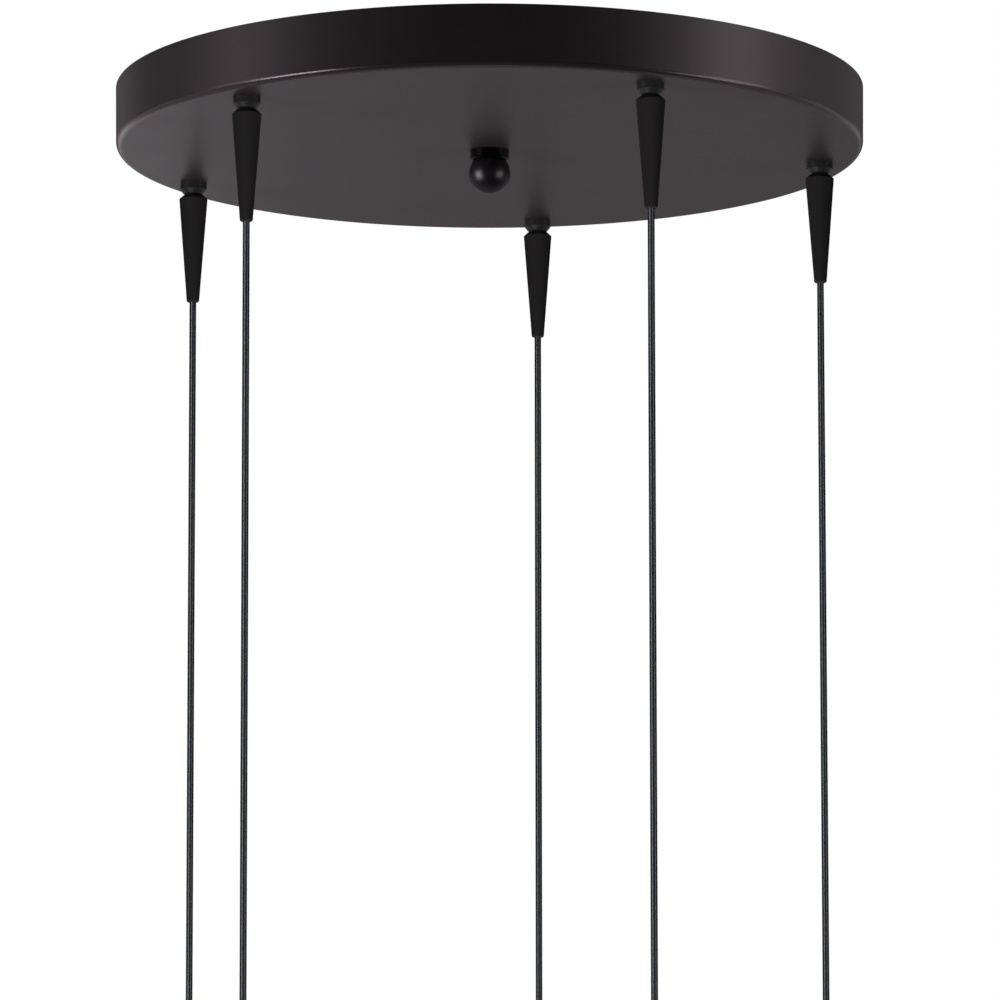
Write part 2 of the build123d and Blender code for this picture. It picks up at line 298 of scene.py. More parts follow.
def arc(centre_z, radius, first_angle, last_angle, steps):
    """Section points on a circle whose centre is on the axis. The angle is up from level."""
    angles = [math.radians(first_angle + (last_angle - first_angle) * k / steps) for k in range(steps + 1)]
    points = [(radius * math.cos(a), centre_z + radius * math.sin(a)) for a in angles]
    return [(r if r > 1e-6 else 0, z) for r, z in points]


def hexagon(across_flats):
    """A hexagon's radius at each angle, with a corner at angle 0."""
    return lambda turn: across_flats / 2 / math.cos(turn % (math.pi / 3) - math.pi / 6)


def chamfered_hex(across_flats, low, high):
    """The stations of a hexagonal block from its lower to its upper face, with its corners turned off."""
    radius = hexagon(across_flats)
    land = 0.475 * across_flats
    slope = math.tan(math.radians(30))

    def lower(turn):
        return radius(turn), low + slope * (radius(turn) - land)

    def upper(turn):
        return radius(turn), high - slope * (radius(turn) - land)

    return [(land, low), lower, upper, (land, high)]


def hex_nut(name, across_flats, bore, low, high):
    """A chamfered hex nut with a countersunk bore."""
    sink = 0.5
    inside = [(bore + sink, high), (bore, high - sink), (bore, low + sink), (bore + sink, low)]
    return spun(name, chamfered_hex(across_flats, low, high) + inside, 72)


def block(low, high, edge_round=0.0, only_upright=False):
    """A box mesh in millimetres with rounded edges."""
    shape = bmesh.new()
    bmesh.ops.create_cube(shape, size=1.0)
    low, high = Vector(low), Vector(high)
    for vertex in shape.verts:
        vertex.co = low + Vector([(c + 0.5) * size for c, size in zip(vertex.co, high - low)])
    if edge_round:
        edges = list(shape.edges)
        if only_upright:
            edges = [edge for edge in edges if abs(edge.verts[0].co.z - edge.verts[1].co.z) > 1e-6]
        bmesh.ops.bevel(shape, geom=edges, offset=edge_round, segments=4, profile=0.5, affect="EDGES")
    return new_mesh("block", shape)


def cut(name, mesh, cutters):
    """The mesh without the space that the closed cutter meshes take. Its own overlapping parts become one."""
    blank = new_object("blank", mesh)
    cutter = new_object("cutter", joined("cutters", cutters))
    tool = blank.modifiers.new("cut", "BOOLEAN")
    tool.solver = "EXACT"
    tool.use_self = True
    tool.object = cutter
    bpy.context.view_layer.update()
    seen = blank.evaluated_get(bpy.context.evaluated_depsgraph_get())
    result = bpy.data.meshes.new_from_object(seen)
    result.name = name
    bpy.data.objects.remove(blank)
    bpy.data.objects.remove(cutter)
    result.materials.clear()
    smooth(result)
    return result


# -------- shader groups
COAT_SPREAD = 0.05
METAL_SPREAD = 0.12
METAL_RELIEF = 0.04
MARKS_PER_METRE = 6000.0
MARKS_STRETCH = (0.02, 0.02, 1.0)
TARNISH_PER_METRE = 60.0
TARNISH = 0.25
BUMP_DISTANCE = 0.0002


def shader_group(name, inputs, outputs):
    """A node group with inputs {name: default} and named outputs, all of them values."""
    tree = bpy.data.node_groups.new(name, "ShaderNodeTree")
    for label, default in inputs.items():
        socket = tree.interface.new_socket(label, in_out="INPUT", socket_type="NodeSocketFloat")
        socket.default_value = default
    for label in outputs:
        tree.interface.new_socket(label, in_out="OUTPUT", socket_type="NodeSocketFloat")
    return tree, tree.nodes.new("NodeGroupInput"), tree.nodes.new("NodeGroupOutput")


def math_node(tree, operation, first, second):
    node = tree.nodes.new("ShaderNodeMath")
    node.operation = operation
    for socket, value in zip(node.inputs, (first, second)):
        if isinstance(value, (int, float)):
            socket.default_value = value
        else:
            tree.links.new(value, socket)
    return node.outputs[0]


def set_inputs(node, **values):
    """Sets a node's inputs by their names, with _ in the place of a space."""
    for label, value in values.items():
        node.inputs[label.replace("_", " ")].default_value = value


def noise(tree, scale, detail, roughness=0.5):
    """Noise laid over the row frame's own metres, so that its grain has a real size."""
    place = tree.nodes.new("ShaderNodeTexCoord")
    node = tree.nodes.new("ShaderNodeTexNoise")
    set_inputs(node, Detail=detail, Roughness=roughness)
    tree.links.new(place.outputs["Object"], node.inputs["Vector"])
    tree.links.new(scale, node.inputs["Scale"])
    return node.outputs["Fac"]


def surface_group(name, inputs):
    """A group for a surface: its own inputs, its roughness and how far clouds spread it."""
    inputs = {**inputs, "Roughness": 0.4, "Spread": 0.1}
    return shader_group(name, inputs, ("Shade", "Roughness", "Height"))


def put_out(tree, given, out, shade, centred, height):
    """Links a surface group's outputs, with its roughness spread by centred clouds."""
    spread = math_node(tree, "MULTIPLY", centred, given.outputs["Spread"])
    tree.links.new(shade, out.inputs["Shade"])
    tree.links.new(math_node(tree, "ADD", given.outputs["Roughness"], spread), out.inputs["Roughness"])
    tree.links.new(height, out.inputs["Height"])
    return tree


def coat_grain_group():
    """Fine grain and slow cloudiness of a sprayed or moulded surface."""
    inputs = {"Grain per metre": 1500.0, "Clouds per metre": 25.0, "Cloudiness": 0.1}
    tree, given, out = surface_group("Coat grain", inputs)
    grain = noise(tree, given.outputs["Grain per metre"], 2.0)
    clouds = noise(tree, given.outputs["Clouds per metre"], 3.0)
    centred = math_node(tree, "SUBTRACT", clouds, 0.5)
    shade = math_node(tree, "ADD", math_node(tree, "MULTIPLY", centred, given.outputs["Cloudiness"]), 1.0)
    return put_out(tree, given, out, shade, centred, grain)


def turning_group():
    """Fine turning marks round Z, with faint tarnish, of bare turned or plated metal."""
    inputs = {"Marks per metre": MARKS_PER_METRE, "Tarnish per metre": TARNISH_PER_METRE, "Tarnish": TARNISH}
    tree, given, out = surface_group("Turning marks", inputs)
    place = tree.nodes.new("ShaderNodeTexCoord")
    flat = tree.nodes.new("ShaderNodeVectorMath")
    flat.operation = "MULTIPLY"
    flat.inputs[1].default_value = MARKS_STRETCH
    marks = tree.nodes.new("ShaderNodeTexNoise")
    set_inputs(marks, Detail=1.0)
    tree.links.new(place.outputs["Object"], flat.inputs[0])
    tree.links.new(flat.outputs[0], marks.inputs["Vector"])
    tree.links.new(given.outputs["Marks per metre"], marks.inputs["Scale"])
    tarnish = noise(tree, given.outputs["Tarnish per metre"], 4.0, 0.6)
    centred = math_node(tree, "SUBTRACT", tarnish, 0.5)
    shade = math_node(tree, "SUBTRACT", 1.0, math_node(tree, "MULTIPLY", tarnish, given.outputs["Tarnish"]))
    return put_out(tree, given, out, shade, centred, marks.outputs["Fac"])


def rubbed_edge_group():
    """A band between two heights, where the coat over an edge is rubbed glossier by the buffing wheel."""
    inputs = {"Low": 0.0, "High": 0.003, "Fade": 0.0004}
    tree, given, out = shader_group("Rubbed edge", inputs, ("Mask",))
    place = tree.nodes.new("ShaderNodeTexCoord")
    split = tree.nodes.new("ShaderNodeSeparateXYZ")
    tree.links.new(place.outputs["Object"], split.inputs[0])
    rise = math_node(tree, "SUBTRACT", split.outputs["Z"], given.outputs["Low"])
    fall = math_node(tree, "SUBTRACT", given.outputs["High"], split.outputs["Z"])
    above = math_node(tree, "DIVIDE", rise, given.outputs["Fade"])
    below = math_node(tree, "DIVIDE", fall, given.outputs["Fade"])
    nearer = math_node(tree, "MINIMUM", above, below)
    clamped = math_node(tree, "MAXIMUM", math_node(tree, "MINIMUM", nearer, 1.0), 0.0)
    tree.links.new(clamped, out.inputs["Mask"])
    return tree


COAT_GRAIN = coat_grain_group()
TURNING_MARKS = turning_group()
RUBBED_EDGE = rubbed_edge_group()


def rub_edge(material, low, high, fade, change):
    """Makes the coat smoother between two heights, in metres."""
    tree = material.node_tree
    shader = tree.nodes["Principled BSDF"]
    given = shader.inputs["Roughness"].links[0].from_socket
    band = tree.nodes.new("ShaderNodeGroup")
    band.node_tree = RUBBED_EDGE
    for socket, value in zip(band.inputs, (low, high, fade)):
        socket.default_value = value
    smoother = math_node(tree, "MULTIPLY", band.outputs["Mask"], change)
    tree.links.new(math_node(tree, "SUBTRACT", given, smoother), shader.inputs["Roughness"])


def finished(name, group, values, colour, relief, **sockets):
    """A finish whose colour is shaded by a group, which also gives its roughness and its relief."""
    material = bpy.data.materials.new(name)
    material.use_nodes = True
    tree = material.node_tree
    shader = tree.nodes["Principled BSDF"]
    set_inputs(shader, **sockets)
    surface = tree.nodes.new("ShaderNodeGroup")
    surface.node_tree = group
    for socket, value in zip(surface.inputs, values):
        socket.default_value = value
    tint = tree.nodes.new("ShaderNodeVectorMath")
    tint.operation = "SCALE"
    tint.inputs[0].default_value = colour
    tree.links.new(surface.outputs["Shade"], tint.inputs["Scale"])
    tree.links.new(tint.outputs[0], shader.inputs["Base Color"])
    tree.links.new(surface.outputs["Roughness"], shader.inputs["Roughness"])
    bump = tree.nodes.new("ShaderNodeBump")
    set_inputs(bump, Strength=relief, Distance=BUMP_DISTANCE)
    tree.links.new(surface.outputs["Height"], bump.inputs["Height"])
    tree.links.new(bump.outputs["Normal"], shader.inputs["Normal"])
    return material


def coated(name, colour, roughness, cloudiness=0.12, grain=1500.0, clouds=25.0, relief=0.02, **sockets):
    """A coated or moulded finish: one colour, softly clouded, with a fine grain in relief."""
    values = (grain, clouds, cloudiness, roughness, COAT_SPREAD)
    return finished(name, COAT_GRAIN, values, colour, relief, **sockets)


def bare_metal(name, colour, roughness):
    """Bare or plated metal with fine turning marks and faint tarnish."""
    values = (MARKS_PER_METRE, TARNISH_PER_METRE, TARNISH, roughness, METAL_SPREAD)
    return finished(name, TURNING_MARKS, values, colour, METAL_RELIEF, Metallic=1.0)


# -------- finishes
FINISHES = {
    "canopy_bronze": coated(
        "Satin dark bronze", (0.080, 0.0645, 0.0715), 0.42, Metallic=0.6, Specular_Tint=(0.8, 0.74, 0.77, 1)
    ),
    "finial_black": coated(
        "Gloss black enamel",
        (0.006, 0.0045, 0.006),
        0.34,
        relief=0.01,
        Specular_IOR_Level=0.3,
        Specular_Tint=(1, 0.9, 0.97, 1),
    ),
    "fitting_black": coated("Satin black enamel", (0.018, 0.017, 0.018), 0.36),
    "grip_nylon": coated("Black nylon", (0.02, 0.0185, 0.0195), 0.5, Specular_IOR_Level=0.2),
    "cord_black": coated(
        "Dark grey cord", (0.009, 0.011, 0.0135), 0.23, relief=0.005, Specular_IOR_Level=0.35
    ),
    "zinc_steel": bare_metal("Zinc plate", (0.66, 0.66, 0.64), 0.36),
    "brass": bare_metal("Turned brass", (0.76, 0.56, 0.27), 0.3),
    "ground_green": coated("Green earthing screw", (0.03, 0.22, 0.07), 0.35),
    "strip_white": coated("White nylon", (0.78, 0.77, 0.73), 0.45),
    "cap_black": coated("Satin black cap", (0.02, 0.019, 0.02), 0.34),
    "body_black": coated("Black phenolic", (0.015, 0.0145, 0.015), 0.25),
    "shell_nickel": bare_metal("Nickel plate", (0.64, 0.61, 0.54), 0.28),
    "ring_black": coated("Black phenolic ring", (0.016, 0.0155, 0.016), 0.28),
}
HOLDER_FINISHES = ("cap_black", "body_black", "shell_nickel", "ring_black")
HANGING_FINISHES = HOLDER_FINISHES + ("fitting_black", "grip_nylon", "cord_black")
PAN_EDGE_BAND = (-0.03349, -0.0302)
PAN_EDGE_FADE = 0.0003
PAN_EDGE_SMOOTHER = 0.2
rub_edge(FINISHES["canopy_bronze"], *PAN_EDGE_BAND, PAN_EDGE_FADE, PAN_EDGE_SMOOTHER)
made_pieces = []
made_by_node = {}


def finish_frame():
    """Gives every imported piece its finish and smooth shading."""
    for name, piece in frame["nodes"].items():
        piece.data.materials.clear()
        piece.data.materials.append(FINISHES[slots[name]])
        smooth(piece.data, 30)


def even_shading(piece):
    """Lets the large faces of a made piece lead its shading, so that its flats look flat."""
    weighted = piece.modifiers.new("even shading", "WEIGHTED_NORMAL")
    weighted.keep_sharp = True


def add_piece(name, mesh, body, slot):
    """A made piece that rides on a body and has a slot's finish."""
    piece = new_object(name, mesh)
    piece.data.materials.append(FINISHES[slot])
    even_shading(piece)
    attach(piece, body)
    return piece


def stand_for(node, name, mesh):
    """A detailed piece in the place of a packed one, on its body and with its finish."""
    piece = add_piece(name, mesh, body_of[node], slots[node])
    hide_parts(node)
    made_pieces.append((node, piece))
    return piece


# -------- levels and radii, in millimetres
CANOPY_RADIUS = 203.2
FACE_Z = -33.5
PAN_FLOOR_Z = -32.3
COLLAR_BOTTOM_Z = -39.9
GRIP_TOP_Z = -40.5
GRIP_TIP_Z = -100.5
NIPPLE_TOP_Z = -24.8
NIPPLE_BOTTOM_Z = -49.5
COLLET_TOP_Z = -44.5
WASHER_TOP_Z = -31.4
LOCKNUT_TOP_Z = -27.8
STUD_TOP_Z = 6.0
STUD_BOTTOM_Z = -47.9
BALL_CENTRE_Z = -46.0
BALL_RADIUS = 11.35
BALL_TOP_Z = -39.1
FINIAL_COLLAR_BOTTOM_Z = -38.9
FINIAL_COLLAR_RADIUS = 10.65
CORD_COLLAR_RADIUS = 7.3
CORD_COLLAR_LIP = 5.5
CORD_COLLAR_NECK = 5.0
CORD_COLLAR_BORE = 4.82
GRIP_RADIUS = 7.8
GRIP_NECK_RADIUS = 5.63
GRIP_TIP_RADIUS = 3.4
GRIP_CORD_BORE = 2.15
GRIP_SHOULDER_DROP = 2.0
CORD_BORE = 1.87
STUD_NUT_FLATS = 15.9
STUD_NUT_HEIGHT = 4.0
STUD_NUT_LEVELS = (0.0, -10.4)
LOCKNUT_FLATS = 16.0
EARTH_SCREW_X = 21.0
EARTH_HEAD_FLATS = 7.27
STRIP_Y = -48.0
STRIP_TOP_Z = -20.3
STRIP_ENTRY_Z = -27.3
STRIP_WIDTH = 20.0
STRIP_PITCH = 12.0
CAP_TOP_Z = -524.5
CAP_BOTTOM_Z = -551.5
BODY_TOP_Z = -543.5
BODY_THREAD_TOP_Z = -553.9
BODY_THREAD_BOTTOM_Z = -575.9
BODY_BOTTOM_Z = -586.9
BORE_TOP_Z = -550.5
SHELL_BOTTOM_Z = -583.9
SHELL_TOP_Z = -556.9
RING_TOP_Z = -556.9
PIPE_PITCH = 0.94
PIPE_CREST = 4.8
PIPE_ROOT = 4.35
PIPE_BORE = 3.2
THREADED_BORE = 4.42
NUT_CLEAR_BORE = 4.88


def pendant_matrix(number):
    """Turns a piece drawn about Z to its pendant, and moves it there."""
    point = swing_points[number]
    angle = math.atan2(point.x, point.y)
    return Matrix.Translation((point.x, point.y, 0)) @ Matrix.Rotation(-angle, 4, "Z")


def at_pendant(number, mesh):
    """A copy of the mesh at its pendant."""
    moved = mesh.copy()
    moved.transform(pendant_matrix(number))
    return moved


def at_each_pendant(name, mesh):
    """One mesh that holds the piece at all five pendants."""
    return joined(name, [mesh], [pendant_matrix(number) for number in PENDANTS])


# -------- canopy
PAN_SIDES = 256
HOLE_SIDES = 40
PAN_FLAT_RADIUS = 198.4
PAN_HOLE_RADIUS = 5.2


def loop_edges(shape, ring):
    return [shape.edges.get((ring[k], ring[(k + 1) % len(ring)])) for k in range(len(ring))]


def spun_pan():
    """The pan: its turned wall, and its flat face and floor with their six holes."""
    shape = bmesh.new()
    section = rounded(
        (PAN_FLAT_RADIUS, FACE_Z),
        (CANOPY_RADIUS - 0.3, FACE_Z, 3.5),
        (CANOPY_RADIUS, 0, 0.35),
        (CANOPY_RADIUS - 1.2, 0, 0.35),
        (CANOPY_RADIUS - 1.5, PAN_FLOOR_Z, 2.3),
        (PAN_FLAT_RADIUS, PAN_FLOOR_Z),
        steps=8,
    )
    rings = [ring_at(shape, PAN_SIDES, station) for station in section]
    for first, second in zip(rings, rings[1:]):
        bridge(shape, first, second)
    face_edges = loop_edges(shape, rings[0])
    floor_edges = loop_edges(shape, rings[-1])
    middles = [Vector((0, 0, 0))] + [swing_points[number] / MM for number in PENDANTS]
    for middle in middles:
        pair = []
        for z in (FACE_Z, PAN_FLOOR_Z):
            hole = ring_at(shape, HOLE_SIDES, (PAN_HOLE_RADIUS, z))
            for vertex in hole:
                vertex.co.x += middle.x
                vertex.co.y += middle.y
            pair.append(hole)
        bridge(shape, *pair)
        face_edges += loop_edges(shape, pair[0])
        floor_edges += loop_edges(shape, pair[1])
    for edges in (face_edges, floor_edges):
        bmesh.ops.triangle_fill(shape, use_beauty=True, edges=edges)
    return new_mesh("spun_pan", shape)


def pipe_thread(low, high):
    return Thread(low, high, PIPE_ROOT, PIPE_CREST, PIPE_PITCH, CUT_THREAD)


def collet_nipple():
    """A hollow threaded nipple whose lower end is slotted to close on the cord."""
    neck = PIPE_CREST - 0.7
    section = [
        (neck - 0.3, NIPPLE_BOTTOM_Z),
        (neck, NIPPLE_BOTTOM_Z + 0.3),
        (PIPE_ROOT, COLLET_TOP_Z),
        pipe_thread(COLLET_TOP_Z, NIPPLE_TOP_Z),
        (PIPE_BORE + 0.3, NIPPLE_TOP_Z),
        (PIPE_BORE, NIPPLE_TOP_Z - 0.3),
        (PIPE_BORE, COLLET_TOP_Z),
        (CORD_BORE, COLLET_TOP_Z),
        (CORD_BORE, NIPPLE_BOTTOM_Z),
    ]
    nipple = spun("collet_nipple", section, 40)
    slot_top = COLLET_TOP_Z - 1.0
    slots_across = [
        block((-9, -0.4, NIPPLE_BOTTOM_Z - 1), (9, 0.4, slot_top)),
        block((-0.4, -9, NIPPLE_BOTTOM_Z - 1), (0.4, 9, slot_top)),
    ]
    return cut("collet_nipple", nipple, [joined("cross", slots_across)])


def hollow_stud():
    sink = 0.4
    inside = [(PIPE_BORE + sink, STUD_TOP_Z), (PIPE_BORE, STUD_TOP_Z - sink)]
    inside += [(PIPE_BORE, STUD_BOTTOM_Z + sink), (PIPE_BORE + sink, STUD_BOTTOM_Z)]
    return spun("hollow_stud", [pipe_thread(STUD_BOTTOM_Z, STUD_TOP_Z)] + inside, 40)


def earthing_screw():
    """A washer-head screw below the bar, slotted, with its thread up through the bar."""
    head_low, flange_low, flange_high = -5.6, -3.3, -2.4
    thread_high, tip = 3.2, 3.6
    flange, root, crest, pitch = 5.0, 1.6, 1.98, 0.79
    section = [(0, head_low)] + chamfered_hex(EARTH_HEAD_FLATS, head_low, flange_low)[:3]
    section += [(flange - 0.3, flange_low), (flange, flange_low + 0.3), (flange, flange_high)]
    section += [(root, flange_high), Thread(flange_high, thread_high, root, crest, pitch, CUT_THREAD)]
    section += [(root - 0.3, tip), (0, tip)]
    screw = spun("earthing_screw", section, 48)
    slotted = cut("earthing_screw", screw, [block((-6, -0.55, -7), (6, 0.55, head_low + 1.07))])
    slotted.transform(move_to(EARTH_SCREW_X, 0))
    return slotted


def finial_collar():
    section = rounded(
        (NUT_CLEAR_BORE, FACE_Z),
        (FINIAL_COLLAR_RADIUS, FACE_Z),
        (FINIAL_COLLAR_RADIUS, FINIAL_COLLAR_BOTTOM_Z, 1.2),
        (NUT_CLEAR_BORE, FINIAL_COLLAR_BOTTOM_Z),
    )
    return spun("turned_collar", section, 96)


def finial_ball():
    """The ball, with its threaded hole."""
    reach = math.degrees(math.asin((BALL_TOP_Z - BALL_CENTRE_Z) / BALL_RADIUS))
    section = arc(BALL_CENTRE_Z, BALL_RADIUS, -90, reach, 40)
    section += [(NUT_CLEAR_BORE + 0.4, BALL_TOP_Z), (NUT_CLEAR_BORE, BALL_TOP_Z - 0.4)]
    bore_end = STUD_BOTTOM_Z - 1.2
    section += [(NUT_CLEAR_BORE, bore_end), (0, bore_end - 1.0)]
    return spun("turned_ball", section, 96)


def nipple_collar():
    """The small collar on the pan: a band, a chamfer with a rounded lip, and a short neck."""
    band_low_z = FACE_Z - 3.6
    section = rounded(
        (CORD_COLLAR_BORE, FACE_Z),
        (CORD_COLLAR_RADIUS, FACE_Z),
        (CORD_COLLAR_RADIUS, band_low_z, 0.5),
        (CORD_COLLAR_LIP, COLLAR_BOTTOM_Z + 0.45, 0.3),
        (CORD_COLLAR_NECK, COLLAR_BOTTOM_Z + 0.35),
        (CORD_COLLAR_NECK, COLLAR_BOTTOM_Z),
        (CORD_COLLAR_BORE, COLLAR_BOTTOM_Z),
    )
    return spun("turned_cord_collar", section, 72)


def cord_grip():
    """The long cone: its moulded tip, its shoulder, and the socket for the nipple."""
    section = rounded(
        (GRIP_CORD_BORE, GRIP_TIP_Z),
        (GRIP_TIP_RADIUS, GRIP_TIP_Z, 1.0),
        (GRIP_RADIUS, GRIP_TOP_Z - GRIP_SHOULDER_DROP, 0.5),
        (GRIP_NECK_RADIUS, GRIP_TOP_Z, 0.2),
        (NUT_CLEAR_BORE, GRIP_TOP_Z),
        (NUT_CLEAR_BORE, NIPPLE_BOTTOM_Z - 1),
        (GRIP_CORD_BORE, NIPPLE_BOTTOM_Z - 3.5),
    )
    return spun("tapered_grip", section, 72)


# -------- wiring inside the pan
CORD_RADIUS = 1.85 * MM
WIRE_RADIUS = 0.9 * MM
WIRE_APART = 0.93 * MM
JACKET_STOPS_SHORT = 8.0
LEAD_ENTRIES = {1: (12.0, 1), 2: (24.0, 1), 3: (24.0, -1), 4: (-24.0, -1), 5: (-24.0, 1)}
LEAD_START_Z = GRIP_TIP_Z + 5.0
LEAD_NECK_Z = COLLET_TOP_Z - 1.0
LEAD_TOP_Z = -14.3
LEAD_BEND_OUT = 34.0
SCREWS_OUT = 5.0
SCREW_SINK = 2.5
WELL_RADIUS = 2.12
WELL_MOUTH = 2.6
WAY_RADIUS = 1.87
WAY_MOUTH = 2.7


def lead_line(number):
    """A tail's line: up through its nipple, over, and down to a way of the terminal block."""
    entry_x, side = LEAD_ENTRIES[number]
    x, y = swing_points[number].x / MM, swing_points[number].y / MM
    top = Vector((x, y, LEAD_TOP_Z))
    strip_edge = STRIP_Y + side * STRIP_WIDTH / 2
    bend = Vector((entry_x, strip_edge + side * LEAD_BEND_OUT, STRIP_ENTRY_Z))
    run = (bend - top).normalized()
    way_in = Vector((0, -side, 0))
    jacket_end = Vector((entry_x, strip_edge + side * JACKET_STOPS_SHORT, STRIP_ENTRY_Z))
    stops = [Vector((x, y, LEAD_START_Z)), Vector((x, y, LEAD_NECK_Z)), top, top + 31 * run]
    stops += [bend - 24 * run, bend, bend + 18 * way_in, jacket_end]
    return route_points([stop * MM for stop in stops], 14)


def wire_line(number, apart):
    """A bared wire's line, from inside its jacket into the terminal block."""
    entry_x, side = LEAD_ENTRIES[number]
    strip_edge = STRIP_Y + side * STRIP_WIDTH / 2
    reach = (JACKET_STOPS_SHORT + 2, JACKET_STOPS_SHORT, JACKET_STOPS_SHORT / 2, 0.5, -3, -6)
    spread = (0.8, 0.95, 1.35, 1.0, 1.0, 1.0)
    points = []
    for out, wide in zip(reach, spread):
        x, y = entry_x * MM + apart * wide, (strip_edge + side * out) * MM
        points.append(Vector((x, y, STRIP_ENTRY_Z * MM)))
    return route_points(points, 8)


def wire_the_canopy():
    """The five jacketed tails and their ten bared wires."""
    tails = [tube_along("tail", lead_line(number), CORD_RADIUS) for number in PENDANTS]
    stand_for("canopy_leads", "inner_leads", joined("inner_leads", tails))
    bared = (("white_wires", "strip_white", WIRE_APART), ("black_wires", "cord_black", -WIRE_APART))
    for name, slot, apart in bared:
        wires = [tube_along("wire", wire_line(number, apart), WIRE_RADIUS, 16) for number in PENDANTS]
        made_pieces.append(("canopy_leads", add_piece(name, joined(name, wires), "canopy", slot)))


def terminal_block():
    """A moulded strip: five boxes on webs, each with two screw towers and a way through."""
    low, top, half = PAN_FLOOR_Z, STRIP_TOP_Z, STRIP_WIDTH / 2
    tower = spun("tower", rounded((0, low + 2), (3.5, low + 2), (3.4, top, 0.4), (0, top)), 32)
    well = [(0, top - SCREW_SINK), (WELL_RADIUS, top - SCREW_SINK), (WELL_RADIUS, top - 0.4)]
    well = spun("well", well + [(WELL_MOUTH, top + 0.2), (WELL_MOUTH, top + 2), (0, top + 2)], 32)
    mouth = [(0, -14), (WAY_MOUTH, -14), (WAY_MOUTH, -10.05), (WAY_RADIUS, -9)]
    hole = spun("way", mouth + [(radius, -z) for radius, z in mouth[::-1]], 32)
    fixing = spun("fixing", [(0, low - 2), (1.3, low - 2), (1.3, top), (0, top)], 24)
    parts = [block((-34, STRIP_Y - 7, low), (34, STRIP_Y + 7, top - 4.5), 1.0, True)]
    cutters = []
    for way in range(5):
        x = (way - 2) * STRIP_PITCH
        parts.append(block((x - 5, STRIP_Y - half, low), (x + 5, STRIP_Y + half, top - 1.2), 0.7))
        parts.append(block((x - 5, STRIP_Y - half, low), (x + 5, STRIP_Y + half, low + 3), 0.7, True))
        for side in (-1, 1):
            place = move_to(x, STRIP_Y + SCREWS_OUT * side)
            parts.append(joined("tower", [tower], [place]))
            cutters.append(joined("well", [well], [place]))
        across = move_to(x, STRIP_Y, STRIP_ENTRY_Z) @ Matrix.Rotation(math.pi / 2, 4, "X")
        cutters.append(joined("way", [hole], [across]))
    cutters += [joined("fixing", [fixing], [move_to(x, STRIP_Y)]) for x in (-32, 32)]
    return cut("terminal_block", joined("terminal_block", parts), cutters)


def clamp_screws():
    """Ten slotted cheese-head screws, each left where it came tight."""
    low, top = STRIP_TOP_Z - SCREW_SINK, STRIP_TOP_Z - 0.6
    section = rounded((0, low), (2.1, low), (2.1, top, 0.25), (0, top))
    slot = block((-3, -0.35, top - 0.9), (3, 0.35, top + 1))
    screw = cut("clamp_screw", spun("clamp_screw", section, 40), [slot])
    places = []
    for way in range(5):
        for side in (-1, 1):
            spot = move_to((way - 2) * STRIP_PITCH, STRIP_Y + SCREWS_OUT * side)
            turn = math.radians(40 + 67 * way + 29 * side)
            places.append(spot @ Matrix.Rotation(turn, 4, "Z"))
    return joined("clamp_screws", [screw], places)


# -------- lampholder
LAMP_THREAD_PITCH = 3.63
BODY_THREAD_PITCH = 2.6
SHEET = 0.45
FLUTES = 30
CAP_NECK = 5.0
CAP_RADIUS = 20.2
CAP_EDGE = 20.6
CAP_INSIDE = 19.3
BODY_RADIUS = 18.0
BODY_CREST = 18.9
BODY_SPIGOT = 19.28
LAMP_BORE = 14.6
SHELL_RADIUS = 13.3
SHELL_CREST = 12.35
SHELL_LIP = 11.3
RING_NOTCHES = 10
RING_RADIUS = 25.0
RING_BORE = 18.98
RING_HUB = 21.18
NOTCH_CENTRE = 26.2
NOTCH_RADIUS = 2.4


def holder_cap():
    """The spun cap: a neck for the cord, a dome, and a skirt with a rolled edge."""
    neck_low = CAP_TOP_Z - 6.0
    dome_low = neck_low - 11.0
    start, end = Vector((CAP_NECK, neck_low)), Vector((CAP_RADIUS, dome_low))
    bulge = Vector((CAP_NECK + 0.62 * (CAP_EDGE - CAP_NECK), neck_low - 3.3))
    middle = 2 * bulge - (start + end) / 2
    dome = []
    for step in range(1, 16):
        share = step / 16
        dome.append(tuple((1 - share) ** 2 * start + 2 * share * (1 - share) * middle + share**2 * end))
    neck = rounded(
        (CORD_BORE, CAP_TOP_Z),
        (CAP_NECK, CAP_TOP_Z, 0.9),
        (CAP_NECK, neck_low, 0.6),
        (CAP_NECK + 0.6, neck_low - 0.4),
        steps=4,
    )
    skirt = rounded(
        (CAP_RADIUS, dome_low),
        (CAP_RADIUS, CAP_BOTTOM_Z + 2.0, 0.3),
        (CAP_EDGE, CAP_BOTTOM_Z + 1.5, 0.25),
        (CAP_EDGE, CAP_BOTTOM_Z, 0.4),
        (CAP_INSIDE, CAP_BOTTOM_Z),
        (CAP_INSIDE, dome_low, 3.0),
        (12.0, neck_low - 5.2, 4.0),
        (CAP_NECK, neck_low - 1.3),
        (CORD_BORE, neck_low - 1.3),
        steps=4,
    )
    return spun("spun_cap", neck + dome[1:] + skirt, 72)


